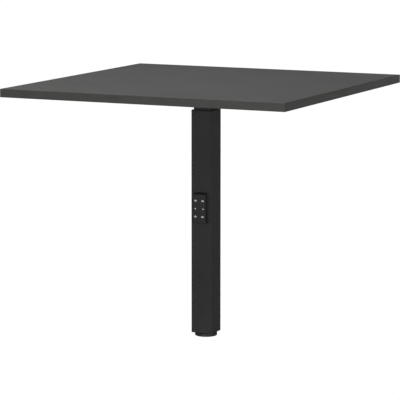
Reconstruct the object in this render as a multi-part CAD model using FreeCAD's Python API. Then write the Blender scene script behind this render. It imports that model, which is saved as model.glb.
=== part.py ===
import FreeCAD, Part
import os

# Square lifting table on one telescopic column, shown at its lowest setting.
# Millimetres, +Z up. The origin lies on the floor under the column's axis. The front,
# which carries the bracket for a crossbeam, faces -Y.
#
# Inside the column a motor and gearbox hang in the inner tube and turn a spindle. The
# spindle climbs in a nut that stands on a push tube, so the inner tube and the top rise.

V = FreeCAD.Vector
X_AXIS = V(1, 0, 0)
Y_AXIS = V(0, 1, 0)
Z_AXIS = V(0, 0, 1)

# Driving dimensions: whole table
desk_height = 687.5
neck_length = 51.9  # inner tube in view between the collar and the top

# Driving dimensions: tabletop
top_width = 800.0
top_depth = 800.0
top_thickness = 22.0
edge_band_thickness = 2.0
edge_round = 1.2

# Driving dimensions: column tubes and their guides
outer_width = 60.0
outer_wall = 2.0
outer_corner = 2.5
guide_gap = 3.0  # from the inside of the outer tube to the inner tube
inner_wall = 2.0
inner_corner = 2.0
collar_rim = 2.5
collar_rim_round = 0.6
collar_skirt = 40.0
collar_pad_relief = 0.5  # how far the skirt stands back beside its glide pads
glide_height = 40.0
glide_lip = 3.0
glide_pad_relief = 0.5
glide_pad_edge = 0.45  # chamfer along a glide pad
glide_peg_diameter = 6.0
pad_corner_margin = 8.0  # bare width at each side of a glide pad
base_clearance = 3.0  # from the bottom plate to the glide sleeve at the lowest setting

# Driving dimensions: bracket for the crossbeam
bracket_width = 37.0
bracket_height = 80.0
bracket_proud = 14.0
bracket_sheet = 3.0
bracket_bend = 2.0
bracket_centre_height = 351.0
bracket_weld_leg = 2.5
bracket_weld_inset = 4.0
nut_plate_thickness = 5.0
nut_plate_margin = 0.5  # from the bracket's bends
nut_plate_setback = 2.0  # from the bracket's open sides
bracket_screw_diameter = 5.0
bracket_screw_pitch_x = 21.0
bracket_screw_pitch_z = 43.0
bracket_screw_head_diameter = 8.5
bracket_screw_head_height = 2.5
bracket_screw_socket = 3.0
bracket_screw_socket_depth = 1.5
bracket_screw_tail = 3.0
rivet_diameter = 3.2
rivet_pitch = 23.0
rivet_head_diameter = 5.0
rivet_head_height = 1.2

# Driving dimensions: head of the column and fixing of the top
mounting_plate_width = 300.0
mounting_plate_depth = 300.0
mounting_plate_sheet = 4.0
mounting_plate_rim = 16.0
mounting_plate_bend = 3.0
mounting_plate_hole_inset = 20.0
mounting_plate_window = 50.0
board_screw_diameter = 5.0
board_screw_head_diameter = 9.5
board_screw_head_height = 3.2
board_screw_slot = 2.5
board_screw_slot_width = 0.8
board_screw_slot_depth = 1.9
board_cover = 6.0  # board left above a screw's tip
flange_width = 90.0
flange_thickness = 6.0
flange_corner = 8.0
flange_hole_inset = 11.0
flange_window = 36.0
head_weld_leg = 4.0
head_weld_toe = 0.4  # upright edge left at the seam's toes
head_screw_diameter = 6.0
head_screw_head_diameter = 11.0
head_screw_head_height = 3.0
head_screw_socket = 4.0
head_screw_socket_depth = 2.1
head_screw_tail = 4.0

# Driving dimensions: drive
motor_wall_gap = 2.0
motor_head_room = 4.0
motor_length = 70.0
motor_bell = 14.0
motor_boss_diameter = 16.0
motor_boss_height = 3.0
gearbox_length = 36.0
gearbox_groove = 0.8
gearbox_screw_diameter = 4.0
gearbox_screw_circle = 35.0
gearbox_screw_grip = 8.0
gearbox_screw_head_diameter = 7.0
gearbox_screw_head_height = 4.0
gearbox_screw_socket = 3.0
gearbox_screw_socket_depth = 2.0
block_height = 18.0
block_chamfer = 3.0
block_screw_diameter = 4.0
block_screw_length = 9.0
block_screw_head_diameter = 8.0
block_screw_head_height = 1.9
bearing_diameter = 26.0
bearing_height = 8.0
bearing_race = 2.0
bearing_shield_depth = 0.5
spindle_diameter = 12.0
spindle_shoulder = 1.0
coupling_wall = 3.0
coupling_length = 14.0
spindle_nut_flange = 6.0
spindle_nut_body = 24.0
spindle_nut_clearance = 6.0  # from the block to the nut at the lowest setting
nut_pin_diameter = 3.0
nut_pin_depth = 2.5
push_tube_diameter = 25.0
push_tube_wall = 2.0
stop_thickness = 4.0
stop_clearance = 8.0
stop_screw_diameter = 4.0
stop_screw_head_diameter = 8.0
stop_screw_head_height = 2.3
stop_screw_socket = 2.5
stop_screw_socket_depth = 1.6
stop_screw_length = 14.0
stroke_reserve = 7.0

# Driving dimensions: inlet socket behind the neck
socket_width = 26.0
socket_height = 16.0
socket_proud = 13.0
socket_wall_thickness = 3.0
socket_corner = 1.5
socket_ear = 8.0
socket_ear_thickness = 3.0
socket_mouth_width = 16.0
socket_mouth_height = 8.0
socket_screw_diameter = 3.0
socket_screw_head_diameter = 5.5
socket_screw_head_height = 1.6
socket_screw_grip = 1.8
socket_pin_count = 4
socket_pin_pitch = 3.6
socket_pin_width = 1.4
socket_pin_length = 4.5
lead_hole_diameter = 9.0

# Driving dimensions: levelling foot and its seat
foot_diameter = 60.0
foot_round = 2.0
foot_crown = 1.5
foot_floor = 3.0
foot_lip = 2.5
foot_play = 0.2
foot_gap = 1.0
stem_diameter = 10.0
stem_head_diameter = 16.0
stem_head_height = 3.8
stem_proud = 4.0
stem_lead_in = 0.75
stem_slot_width = 1.5
stem_slot_depth = 2.5
bottom_plate_recess = 2.0
bottom_plate_thickness = 8.0
bottom_boss_height = 8.0

# Driving dimensions: forms of heads and seams, as shares of their size
dome_rim_share = 0.3  # straight rim under a dome
dome_crown_share = 0.15  # flat middle of a dome
pan_rim_share = 0.5  # straight rim under a pan head's taper
pan_top_share = 0.7  # flat top of a pan head
weld_crown_share = 0.6  # half a leg would be a flat seam

# Clearances
seat_gap = 0.1  # piece that sits fast in a tube
running_gap = 0.05  # shaft that turns in a bore
swivel_gap = 0.1  # foot on its stem
slide_gap = 0.25  # tube that slides in its guide
free_gap = 0.4  # round pieces that never touch
hole_gap = 0.25  # screw in a clearance hole
thread_gap = 0.05  # screw in its thread, drawn without turns
least_corner = 0.3

# Heights that follow, from the floor up
foot_height = foot_floor + stem_head_height + foot_play + foot_lip
outer_bottom = foot_height + foot_gap
bottom_plate_bottom = outer_bottom + bottom_plate_recess
bottom_plate_top = bottom_plate_bottom + bottom_plate_thickness
bottom_boss_top = bottom_plate_top + bottom_boss_height
stem_top = bottom_boss_top + stem_proud
glide_bottom = bottom_plate_top + base_clearance
inner_bottom = glide_bottom + glide_lip
stop_bottom = stem_top + stop_clearance
spindle_bottom = stop_bottom + stop_thickness

# Heights that follow, from the top down
board_bottom = desk_height - top_thickness
mounting_plate_bottom = board_bottom - mounting_plate_sheet
inner_top = mounting_plate_bottom - flange_thickness
collar_top = board_bottom - neck_length
outer_top = collar_top - collar_rim
motor_top = inner_top - motor_head_room
motor_bottom = motor_top - motor_length
block_top = motor_bottom - gearbox_length
block_bottom = block_top - block_height
bearing_bottom = block_top - bearing_height
nut_top = block_bottom - spindle_nut_clearance
push_tube_top = nut_top - spindle_nut_flange
nut_bottom = push_tube_top - spindle_nut_body
lift_stroke = nut_bottom - spindle_bottom - stroke_reserve

# Widths and radii that follow
outer_cavity = outer_width - 2 * outer_wall
outer_inside_corner = max(outer_corner - outer_wall, least_corner)
inner_width = outer_cavity - 2 * guide_gap
inner_cavity = inner_width - 2 * inner_wall
inner_inside_corner = max(inner_corner - inner_wall, least_corner)
outer_face = outer_width / 2
inner_face = inner_width / 2
motor_radius = inner_cavity / 2 - motor_wall_gap
block_width = inner_cavity - 2 * seat_gap
spindle_radius = spindle_diameter / 2
journal_radius = spindle_radius - spindle_shoulder
bearing_radius = bearing_diameter / 2
coupling_radius = journal_radius + coupling_wall
push_tube_inside = push_tube_diameter / 2 - push_tube_wall
stem_radius = stem_diameter / 2
bracket_face = outer_face + bracket_proud
bracket_inside = bracket_face - bracket_sheet
socket_centre = (collar_top + inner_top - head_weld_leg) / 2
socket_face = inner_face + socket_proud
socket_screw_x = socket_width / 2 + socket_ear / 2
mounting_hole_x = mounting_plate_width / 2 - mounting_plate_hole_inset
mounting_hole_y = mounting_plate_depth / 2 - mounting_plate_hole_inset
flange_hole = flange_width / 2 - flange_hole_inset


# Shapes that repeat
diagonal = 0.5 ** 0.5  # what a slope of 45 degrees covers along each axis


def plain_block(width, depth, bottom, top):
    """Upright block on the column's axis."""
    return Part.makeBox(width, depth, top - bottom, V(-width / 2, -depth / 2, bottom))


def upright_edges(block):
    return [edge for edge in block.Edges if abs(edge.tangentAt(edge.FirstParameter).z) > 0.5]


def rounded_block(width, depth, bottom, top, corner):
    """Upright block on the column's axis with its four upright edges rounded."""
    block = plain_block(width, depth, bottom, top)
    return block.makeFillet(corner, upright_edges(block))


def cylinder(radius, bottom, top, x=0.0, y=0.0):
    return Part.makeCylinder(radius, top - bottom, V(x, y, bottom))


def turned(points):
    """Solid of revolution about Z from (radius, height) points in order."""
    outline = Part.makePolygon([V(r, 0, z) for r, z in points + points[:1]])
    return Part.Face(outline).revolve(V(0, 0, 0), Z_AXIS, 360)


def placed(shape, position, direction):
    """Move a shape drawn along +Z to a position, with +Z turned to a direction."""
    copy = shape.copy()
    copy.Placement = FreeCAD.Placement(position, FreeCAD.Rotation(Z_AXIS, direction))
    return copy


def group(shape, positions, direction):
    """Separate copies of one fastener, side by side in one node."""
    return Part.makeCompound([placed(shape, position, direction) for position in positions])


def domed_head(diameter, height):
    """Screw or rivet head on the plane z = 0: a short rim under a round dome, flat at its crown."""
    radius = diameter / 2
    rim = height * dome_rim_share
    rise = height - rim
    sphere = (radius ** 2 + rise ** 2) / (2 * rise)

    def on_dome(reach):
        return V(reach, 0, height - sphere + (sphere ** 2 - reach ** 2) ** 0.5)

    crown_reach = radius * dome_crown_share
    crown = on_dome(crown_reach)
    dome = Part.Arc(on_dome(radius), on_dome((radius + crown_reach) / 2), crown).toShape()
    sides = Part.makePolygon([crown, V(0, 0, crown.z), V(0, 0, 0), V(radius, 0, 0), on_dome(radius)])
    return Part.Face(Part.Wire([dome] + sides.Edges)).revolve(V(0, 0, 0), Z_AXIS, 360)


def pan_head(diameter, height):
    """Flat-topped screw head on the plane z = 0, tapered above a straight rim."""
    radius = diameter / 2
    return turned([
        (0, 0),
        (radius, 0),
        (radius, height * pan_rim_share),
        (radius * pan_top_share, height),
        (0, height),
    ])


def hexagon_prism(across_flats, bottom, top):
    corner = across_flats / 3 ** 0.5
    spoke = FreeCAD.Rotation(Z_AXIS, 60)
    corners = [V(corner, 0, bottom)]
    for _ in range(6):
        corners.append(spoke.multVec(corners[-1]))
    return Part.Face(Part.makePolygon(corners)).extrude(V(0, 0, top - bottom))


def quarter_turned(shape):
    copy = shape.copy()
    copy.rotate(V(0, 0, 0), Z_AXIS, 90)
    return copy


def countersunk_screw(diameter, length, head_diameter, head_height):
    """Screw with its flat head at z = 0 and its tip at z = -length."""
    return turned([
        (0, 0),
        (head_diameter / 2, 0),
        (diameter / 2, -head_height),
        (diameter / 2, -length),
        (0, -length),
    ])


def countersunk_hole(diameter, depth, head_diameter, head_height, gap):
    return countersunk_screw(diameter + 2 * gap, depth, head_diameter + 2 * gap, head_height)


def corners_of(x, y):
    return [(-x, -y), (x, -y), (x, y), (-x, y)]


# Tabletop: one rounded slab, parted into the board and its four edge bands
def tabletop_slab():
    slab = plain_block(top_width, top_depth, board_bottom, desk_height)
    return slab.makeFillet(edge_round, slab.Edges)


def board_screw_places():
    x, y = mounting_hole_x, mounting_hole_y
    return corners_of(x, y) + [(x, 0), (-x, 0), (0, y), (0, -y)]


def tabletop_board():
    width = top_width - 2 * edge_band_thickness
    depth = top_depth - 2 * edge_band_thickness
    board = plain_block(width, depth, board_bottom, desk_height).common(tabletop_slab())
    pilot_radius = board_screw_diameter / 2 + thread_gap
    tip = desk_height - board_cover + thread_gap
    return board.cut([cylinder(pilot_radius, board_bottom, tip, x, y) for x, y in board_screw_places()])


def edge_bands():
    """Front and back bands run the full width; the side bands fit between them."""
    slab = tabletop_slab()
    core_width = top_width - 2 * edge_band_thickness
    core_depth = top_depth - 2 * edge_band_thickness
    across = (top_width + core_width) / 4
    along = (top_depth + core_depth) / 4
    long_strip = plain_block(top_width, edge_band_thickness, board_bottom, desk_height)
    side_strip = plain_block(edge_band_thickness, core_depth, board_bottom, desk_height)
    strips = {
        "edge_band_front": long_strip.translated(V(0, -along, 0)),
        "edge_band_back": long_strip.translated(V(0, along, 0)),
        "edge_band_left": side_strip.translated(V(-across, 0, 0)),
        "edge_band_right": side_strip.translated(V(across, 0, 0)),
    }
    return {name: strip.common(slab) for name, strip in strips.items()}


# Mounting plate: sheet with both side rims folded down, screwed to the board from below
def folded_channel(width, depth, sheet, bend):
    """Face of a folded channel in the XZ plane, web on z = 0 and rims running to z = -depth."""
    half = width / 2
    outer = bend + sheet
    outer_mid = V(half - outer + outer * diagonal, 0, -outer + outer * diagonal)
    inner_mid = V(half - outer + bend * diagonal, 0, -outer + bend * diagonal)
    right = [
        Part.makeLine(V(0, 0, 0), V(half - outer, 0, 0)),
        Part.Arc(V(half - outer, 0, 0), outer_mid, V(half, 0, -outer)).toShape(),
        Part.makeLine(V(half, 0, -outer), V(half, 0, -depth)),
        Part.makeLine(V(half, 0, -depth), V(half - sheet, 0, -depth)),
        Part.makeLine(V(half - sheet, 0, -depth), V(half - sheet, 0, -outer)),
        Part.Arc(V(half - sheet, 0, -outer), inner_mid, V(half - outer, 0, -sheet)).toShape(),
        Part.makeLine(V(half - outer, 0, -sheet), V(0, 0, -sheet)),
        Part.makeLine(V(0, 0, -sheet), V(0, 0, 0)),
    ]
    right_half = Part.Face(Part.Wire(right))
    left_half = right_half.mirror(V(0, 0, 0), X_AXIS)
    return right_half, left_half


def folded_sheet(width, depth, sheet, bend, length):
    """Folded channel of a given length along Y, starting at y = 0."""
    right_half, left_half = folded_channel(width, depth, sheet, bend)
    body = right_half.extrude(Y_AXIS * length).fuse(left_half.extrude(Y_AXIS * length))
    return body.removeSplitter()


def mounting_plate():
    bottom = mounting_plate_bottom
    plate = folded_sheet(
        width=mounting_plate_width,
        depth=mounting_plate_rim,
        sheet=mounting_plate_sheet,
        bend=mounting_plate_bend,
        length=mounting_plate_depth,
    )
    plate.translate(V(0, -mounting_plate_depth / 2, board_bottom))
    window = mounting_plate_window
    holes = [rounded_block(window, window, bottom, board_bottom, mounting_plate_bend)]
    for x, y in board_screw_places():
        holes.append(cylinder(board_screw_diameter / 2 + hole_gap, bottom, board_bottom, x, y))
    sink = countersunk_hole(
        diameter=head_screw_diameter,
        depth=mounting_plate_sheet,
        head_diameter=head_screw_head_diameter,
        head_height=head_screw_head_height,
        gap=hole_gap,
    )
    holes += [placed(sink, place, Z_AXIS) for place in head_screw_places()]
    return plate.cut(holes)


def mounting_plate_screws():
    length = mounting_plate_sheet + top_thickness - board_cover
    head = pan_head(board_screw_head_diameter, board_screw_head_height)
    slot_floor = board_screw_head_height - board_screw_slot_depth
    slot = plain_block(board_screw_slot, board_screw_slot_width, slot_floor, board_screw_head_height)
    cross = slot.fuse(quarter_turned(slot))
    screw = head.cut(cross).fuse(cylinder(board_screw_diameter / 2, -length, 0))
    return group(screw, [V(x, y, mounting_plate_bottom) for x, y in board_screw_places()], -Z_AXIS)


# Head flange: plate welded across the top of the inner tube, tapped for the head screws
def head_screw_places():
    return [V(x, y, board_bottom) for x, y in corners_of(flange_hole, flange_hole)]


def head_flange():
    flange = rounded_block(flange_width, flange_width, inner_top, mounting_plate_bottom, flange_corner)
    holes = [cylinder(flange_window / 2, inner_top, mounting_plate_bottom)]
    for x, y in corners_of(flange_hole, flange_hole):
        holes.append(cylinder(head_screw_diameter / 2 + thread_gap, inner_top, mounting_plate_bottom, x, y))
    return flange.cut(holes)


def head_weld():
    """Fillet weld that runs round the tube under the flange."""
    bottom = inner_top - head_weld_leg
    wide = inner_width + 2 * head_weld_leg
    bead = rounded_block(wide, wide, bottom, inner_top, inner_corner + head_weld_leg)
    lower_edges = [edge for edge in bead.Edges if edge.BoundBox.ZMax < (bottom + inner_top) / 2]
    bead = bead.makeChamfer(head_weld_leg - head_weld_toe, lower_edges)
    return bead.cut(rounded_block(inner_width, inner_width, bottom, inner_top, inner_corner))


def head_screws():
    length = mounting_plate_sheet + flange_thickness + head_screw_tail
    screw = countersunk_screw(head_screw_diameter, length, head_screw_head_diameter, head_screw_head_height)
    screw = screw.cut(hexagon_prism(head_screw_socket, -head_screw_socket_depth, 0))
    return group(screw, head_screw_places(), Z_AXIS)


# Inner tube: slides in the outer tube and carries the drive, the head and the top
def block_screw_seats():
    """Places of the block's screws on the tube's four sides, with the way each side faces."""
    middle = V(0, 0, (block_bottom + bearing_bottom) / 2)
    return [(side * inner_face + middle, side) for side in (X_AXIS, Y_AXIS, -X_AXIS, -Y_AXIS)]


def block_screw_hole(gap):
    return countersunk_hole(
        diameter=block_screw_diameter,
        depth=block_screw_length,
        head_diameter=block_screw_head_diameter,
        head_height=block_screw_head_height,
        gap=gap,
    )


def glide_peg_height():
    return inner_bottom + (glide_height - glide_lip) / 2


def socket_screw_places(depth):
    return [V(-socket_screw_x, depth, socket_centre), V(socket_screw_x, depth, socket_centre)]


def inner_tube():
    tube = rounded_block(inner_width, inner_width, inner_bottom, inner_top, inner_corner)
    tube = tube.cut(rounded_block(inner_cavity, inner_cavity, inner_bottom, inner_top, inner_inside_corner))
    holes = [placed(block_screw_hole(hole_gap), place, side) for place, side in block_screw_seats()]
    peg_start = V(-inner_face, 0, glide_peg_height())
    holes.append(Part.makeCylinder(glide_peg_diameter / 2 + hole_gap, inner_width, peg_start, X_AXIS))
    back_wall = inner_face - inner_wall
    lead_start = V(0, back_wall, socket_centre)
    holes.append(Part.makeCylinder(lead_hole_diameter / 2, inner_wall, lead_start, Y_AXIS))
    for start in socket_screw_places(back_wall):
        holes.append(Part.makeCylinder(socket_screw_diameter / 2 + thread_gap, inner_wall, start, Y_AXIS))
    return tube.cut(holes)


# Guides: glide sleeve on the inner tube's foot and collar in the outer tube's mouth
def glide_sleeve():
    """Sleeve that runs on four pads and stands back beside them."""
    pad_face = outer_cavity / 2 - slide_gap
    sleeve_width = 2 * (pad_face - glide_pad_relief)
    top = glide_bottom + glide_height
    sleeve = rounded_block(sleeve_width, sleeve_width, glide_bottom, top, inner_corner)
    pads = plain_block(inner_width - 2 * pad_corner_margin, 2 * pad_face, glide_bottom, top)
    pads = pads.makeChamfer(glide_pad_edge, upright_edges(pads))
    sleeve = sleeve.fuse([pads, quarter_turned(pads)])
    seat = inner_width + 2 * running_gap
    hollow = rounded_block(seat, seat, inner_bottom, top, inner_corner)
    mouth = rounded_block(inner_cavity, inner_cavity, glide_bottom, inner_bottom, inner_inside_corner)
    sleeve = sleeve.cut([hollow, mouth])
    for side in (X_AXIS, -X_AXIS):
        root = side * (inner_face + running_gap) + V(0, 0, glide_peg_height())
        peg = Part.makeCylinder(glide_peg_diameter / 2, inner_wall + running_gap, root, -side)
        sleeve = sleeve.fuse(peg)
    return sleeve.removeSplitter()


def guide_collar():
    """Rim on the tube's edge over a skirt, which guides by four pads and stands back beside them."""
    skirt_bottom = outer_top - collar_skirt
    skirt_width = outer_cavity - 2 * seat_gap
    skirt = rounded_block(skirt_width, skirt_width, skirt_bottom, outer_top, outer_inside_corner + seat_gap)
    rim = rounded_block(outer_width, outer_width, outer_top, collar_top, outer_corner)
    rim_edges = [edge for edge in rim.Edges if edge.BoundBox.ZMin > collar_top - collar_rim / 2]
    rim = rim.makeFillet(collar_rim_round, rim_edges)
    opening = inner_width + 2 * slide_gap
    relief = opening + 2 * collar_pad_relief
    collar = skirt.fuse(rim)
    collar = collar.cut(rounded_block(opening, opening, outer_top, collar_top, inner_corner - slide_gap))
    collar = collar.cut(rounded_block(relief, relief, skirt_bottom, outer_top, inner_corner - slide_gap))
    pads = plain_block(inner_width - 2 * pad_corner_margin, relief, skirt_bottom, outer_top)
    pads = pads.cut(plain_block(opening, opening, skirt_bottom, outer_top))
    return collar.fuse([pads, quarter_turned(pads)]).removeSplitter()


# Outer tube: stands on the foot, holds the collar, the bottom plate and the bracket
def outer_tube():
    tube = rounded_block(outer_width, outer_width, outer_bottom, outer_top, outer_corner)
    return tube.cut(rounded_block(outer_cavity, outer_cavity, outer_bottom, outer_top, outer_inside_corner))


def bottom_plate():
    """Plate welded into the tube's foot, with a boss that is tapped for the stem."""
    width = outer_cavity - 2 * seat_gap
    corner = outer_inside_corner + seat_gap
    plate = rounded_block(width, width, bottom_plate_bottom, bottom_plate_top, corner)
    boss = cylinder(push_tube_inside - seat_gap, bottom_plate_top, bottom_boss_top)
    return plate.fuse(boss).cut(cylinder(stem_radius + running_gap, bottom_plate_bottom, bottom_boss_top))


# Bracket: channel folded at top and bottom, welded on the front, with a tapped strip inside
def on_bracket(places):
    """Points on the bracket's web, from places counted from its centre."""
    return [V(x, -bracket_face, bracket_centre_height + z) for x, z in places]


def bracket_screw_places():
    return on_bracket(corners_of(bracket_screw_pitch_x / 2, bracket_screw_pitch_z / 2))


def rivet_places():
    return on_bracket([(-rivet_pitch / 2, 0), (rivet_pitch / 2, 0)])


def bracket_holes(places, radius):
    return [Part.makeCylinder(radius, bracket_proud, place, Y_AXIS) for place in places]


def beam_bracket():
    channel = folded_sheet(bracket_height, bracket_proud, bracket_sheet, bracket_bend, bracket_width)
    channel.rotate(V(0, 0, 0), Z_AXIS, 90)
    channel.rotate(V(0, 0, 0), X_AXIS, 90)
    channel.translate(V(bracket_width / 2, -bracket_face, bracket_centre_height))
    holes = bracket_holes(bracket_screw_places(), bracket_screw_diameter / 2 + hole_gap)
    return channel.cut(holes + bracket_holes(rivet_places(), rivet_diameter / 2 + thread_gap))


def bracket_nut_plate():
    width = bracket_width - 2 * nut_plate_setback
    half_height = bracket_height / 2 - bracket_sheet - bracket_bend - nut_plate_margin
    low = bracket_centre_height - half_height
    plate = plain_block(width, nut_plate_thickness, low, low + 2 * half_height)
    plate.translate(V(0, nut_plate_thickness / 2 - bracket_inside, 0))
    holes = bracket_holes(bracket_screw_places(), bracket_screw_diameter / 2 + thread_gap)
    return plate.cut(holes + bracket_holes(rivet_places(), rivet_diameter / 2 + thread_gap))


def bracket_screws():
    length = bracket_sheet + nut_plate_thickness + bracket_screw_tail
    head = domed_head(bracket_screw_head_diameter, bracket_screw_head_height)
    socket_floor = bracket_screw_head_height - bracket_screw_socket_depth
    socket = hexagon_prism(bracket_screw_socket, socket_floor, bracket_screw_head_height)
    screw = head.cut(socket).fuse(cylinder(bracket_screw_diameter / 2, -length, 0))
    return group(screw, bracket_screw_places(), -Y_AXIS)


def bracket_rivets():
    """Rivets with a dome in front and an upset tail behind the tapped strip."""
    grip = bracket_sheet + nut_plate_thickness
    head = domed_head(rivet_head_diameter, rivet_head_height)
    tail = placed(pan_head(rivet_head_diameter, rivet_head_height), V(0, 0, -grip), -Z_AXIS)
    rivet = head.fuse([cylinder(rivet_diameter / 2, -grip, 0), tail])
    return group(rivet, rivet_places(), -Y_AXIS)


def bracket_welds():
    """Fillet seams along both feet of the channel, slightly crowned."""
    foot = bracket_height / 2
    leg = bracket_weld_leg
    toe_side = V(0, -outer_face, foot + leg)
    toe_rim = V(0, -outer_face - leg, foot)
    rise = leg * weld_crown_share
    crown = V(0, -outer_face - rise, foot + rise)
    root = V(0, -outer_face, foot)
    seam_outline = [
        Part.Arc(toe_side, crown, toe_rim).toShape(),
        Part.makeLine(toe_rim, root),
        Part.makeLine(root, toe_side),
    ]
    seam_length = bracket_width - 2 * bracket_weld_inset
    seam = Part.Face(Part.Wire(seam_outline)).extrude(X_AXIS * seam_length)
    seam.translate(V(-seam_length / 2, 0, 0))
    seams = Part.makeCompound([seam, seam.mirror(V(0, 0, 0), Z_AXIS)])
    seams.translate(V(0, 0, bracket_centre_height))
    return seams


# Drive: bearing block, gearbox and motor, fixed in the inner tube
def gearbox_screw_places():
    reach = gearbox_screw_circle / 2 * diagonal
    return corners_of(reach, reach)


def bearing_block():
    block = plain_block(block_width, block_width, block_bottom, block_top)
    block = block.makeChamfer(block_chamfer, upright_edges(block))
    cuts = [
        cylinder(spindle_radius + 2 * free_gap, block_bottom, block_top),
        cylinder(bearing_radius + running_gap, bearing_bottom, block_top),
    ]
    head_seat = block_bottom + gearbox_screw_head_height
    for x, y in gearbox_screw_places():
        cuts.append(cylinder(gearbox_screw_diameter / 2 + hole_gap, block_bottom, block_top, x, y))
        cuts.append(cylinder(gearbox_screw_head_diameter / 2 + hole_gap, block_bottom, head_seat, x, y))
    cuts += [placed(block_screw_hole(thread_gap), place, side) for place, side in block_screw_seats()]
    return block.cut(cuts)


def block_screws():
    screw = countersunk_screw(
        diameter=block_screw_diameter,
        length=block_screw_length - thread_gap,
        head_diameter=block_screw_head_diameter,
        head_height=block_screw_head_height,
    )
    return Part.makeCompound([placed(screw, place, side) for place, side in block_screw_seats()])


def thrust_bearing():
    """Sealed ball bearing: a ring with a shallow shield between its races on both sides."""
    bore = journal_radius + running_gap
    inner_race = bore + bearing_race
    outer_race = bearing_radius - bearing_race
    return turned([
        (bore, bearing_bottom),
        (inner_race, bearing_bottom),
        (inner_race, bearing_bottom + bearing_shield_depth),
        (outer_race, bearing_bottom + bearing_shield_depth),
        (outer_race, bearing_bottom),
        (bearing_radius, bearing_bottom),
        (bearing_radius, block_top),
        (outer_race, block_top),
        (outer_race, block_top - bearing_shield_depth),
        (inner_race, block_top - bearing_shield_depth),
        (inner_race, block_top),
        (bore, block_top),
    ])


def gearbox():
    """Ring-gear housing with two parting grooves and a pocket for the output coupling."""
    groove = motor_radius - gearbox_groove
    low = block_top + gearbox_length / 3
    high = block_top + gearbox_length * 2 / 3
    case = turned([
        (0, block_top),
        (motor_radius, block_top),
        (motor_radius, low),
        (groove, low),
        (groove, low + 2 * gearbox_groove),
        (motor_radius, low + 2 * gearbox_groove),
        (motor_radius, high),
        (groove, high),
        (groove, high + 2 * gearbox_groove),
        (motor_radius, high + 2 * gearbox_groove),
        (motor_radius, motor_bottom),
        (0, motor_bottom),
    ])
    cuts = [cylinder(coupling_radius + free_gap, block_top, block_top + coupling_length + free_gap)]
    thread_radius = gearbox_screw_diameter / 2 + thread_gap
    thread_end = block_top + gearbox_screw_grip + thread_gap
    cuts += [cylinder(thread_radius, block_top, thread_end, x, y) for x, y in gearbox_screw_places()]
    return case.cut(cuts)


def gearbox_screws():
    head_top = block_bottom + gearbox_screw_head_height
    head = cylinder(gearbox_screw_head_diameter / 2, block_bottom, head_top)
    socket_floor = block_bottom + gearbox_screw_socket_depth
    head = head.cut(hexagon_prism(gearbox_screw_socket, block_bottom, socket_floor))
    screw = head.fuse(cylinder(gearbox_screw_diameter / 2, head_top, block_top + gearbox_screw_grip))
    return group(screw, [V(x, y, 0) for x, y in gearbox_screw_places()], Z_AXIS)


def motor():
    """Motor can with a stepped end bell and the rear bearing's boss."""
    bell = motor_top - motor_boss_height - motor_bell
    can_top = motor_top - motor_boss_height
    return turned([
        (0, motor_bottom),
        (motor_radius, motor_bottom),
        (motor_radius, bell),
        (motor_radius - gearbox_groove, bell),
        (motor_radius - gearbox_groove, bell + gearbox_groove),
        (motor_radius, bell + gearbox_groove),
        (motor_radius, can_top - 2 * gearbox_groove),
        (motor_radius - 2 * gearbox_groove, can_top),
        (motor_boss_diameter / 2, can_top),
        (motor_boss_diameter / 2, motor_top),
        (0, motor_top),
    ])


# Inlet socket for the motor's lead: moulded housing screwed on the back of the neck
def socket_pin_places():
    middle = (socket_pin_count - 1) / 2
    return [(index - middle) * socket_pin_pitch for index in range(socket_pin_count)]


def socket_block(width, height, front, back, corner):
    """Block behind the neck from one depth to another, with its long edges rounded."""
    block = rounded_block(width, height, 0, back - front, corner)
    return placed(block, V(0, front, socket_centre), Y_AXIS)


def motor_socket():
    ear_face = inner_face + socket_ear_thickness
    mouth_floor = inner_face + socket_wall_thickness
    ears_width = min(socket_width + 2 * socket_ear, inner_width - 2 * inner_corner)
    housing = socket_block(socket_width, socket_height, inner_face, socket_face, socket_corner)
    ears = socket_block(ears_width, socket_height, inner_face, ear_face, socket_corner)
    mouth = socket_block(
        socket_mouth_width, socket_mouth_height, mouth_floor, socket_face, socket_corner / 2
    )
    cuts = [mouth] + [socket_pin(x, thread_gap) for x in socket_pin_places()]
    hole_radius = socket_screw_diameter / 2 + hole_gap
    for start in socket_screw_places(inner_face):
        cuts.append(Part.makeCylinder(hole_radius, socket_ear_thickness, start, Y_AXIS))
    return housing.fuse(ears).cut(cuts)


def socket_pin(x, gap):
    """Contact blade that stands from the socket's back wall into its mouth."""
    half = socket_pin_width / 2 + gap
    start = inner_face + socket_wall_thickness / 2 - gap
    end = inner_face + socket_wall_thickness + socket_pin_length + gap
    return Part.makeBox(2 * half, end - start, 2 * half, V(x - half, start, socket_centre - half))


def socket_pins():
    return Part.makeCompound([socket_pin(x, 0) for x in socket_pin_places()])


def socket_screws():
    grip = socket_ear_thickness + socket_screw_grip
    head = pan_head(socket_screw_head_diameter, socket_screw_head_height)
    screw = head.fuse(cylinder(socket_screw_diameter / 2, -grip, 0))
    return group(screw, socket_screw_places(inner_face + socket_ear_thickness), Y_AXIS)


# Turning set: coupling, spindle and the stop at the spindle's lower end
def spindle():
    journal_top = block_top + coupling_length
    bar = turned([
        (0, spindle_bottom),
        (spindle_radius, spindle_bottom),
        (spindle_radius, bearing_bottom),
        (journal_radius, bearing_bottom),
        (journal_radius, journal_top),
        (0, journal_top),
    ])
    thread_end = spindle_bottom + stop_screw_length
    return bar.cut(cylinder(stop_screw_diameter / 2 + thread_gap, spindle_bottom, thread_end))


def drive_coupling():
    sleeve = cylinder(coupling_radius, block_top, block_top + coupling_length)
    return sleeve.cut(cylinder(journal_radius + thread_gap, block_top, block_top + coupling_length))


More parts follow.
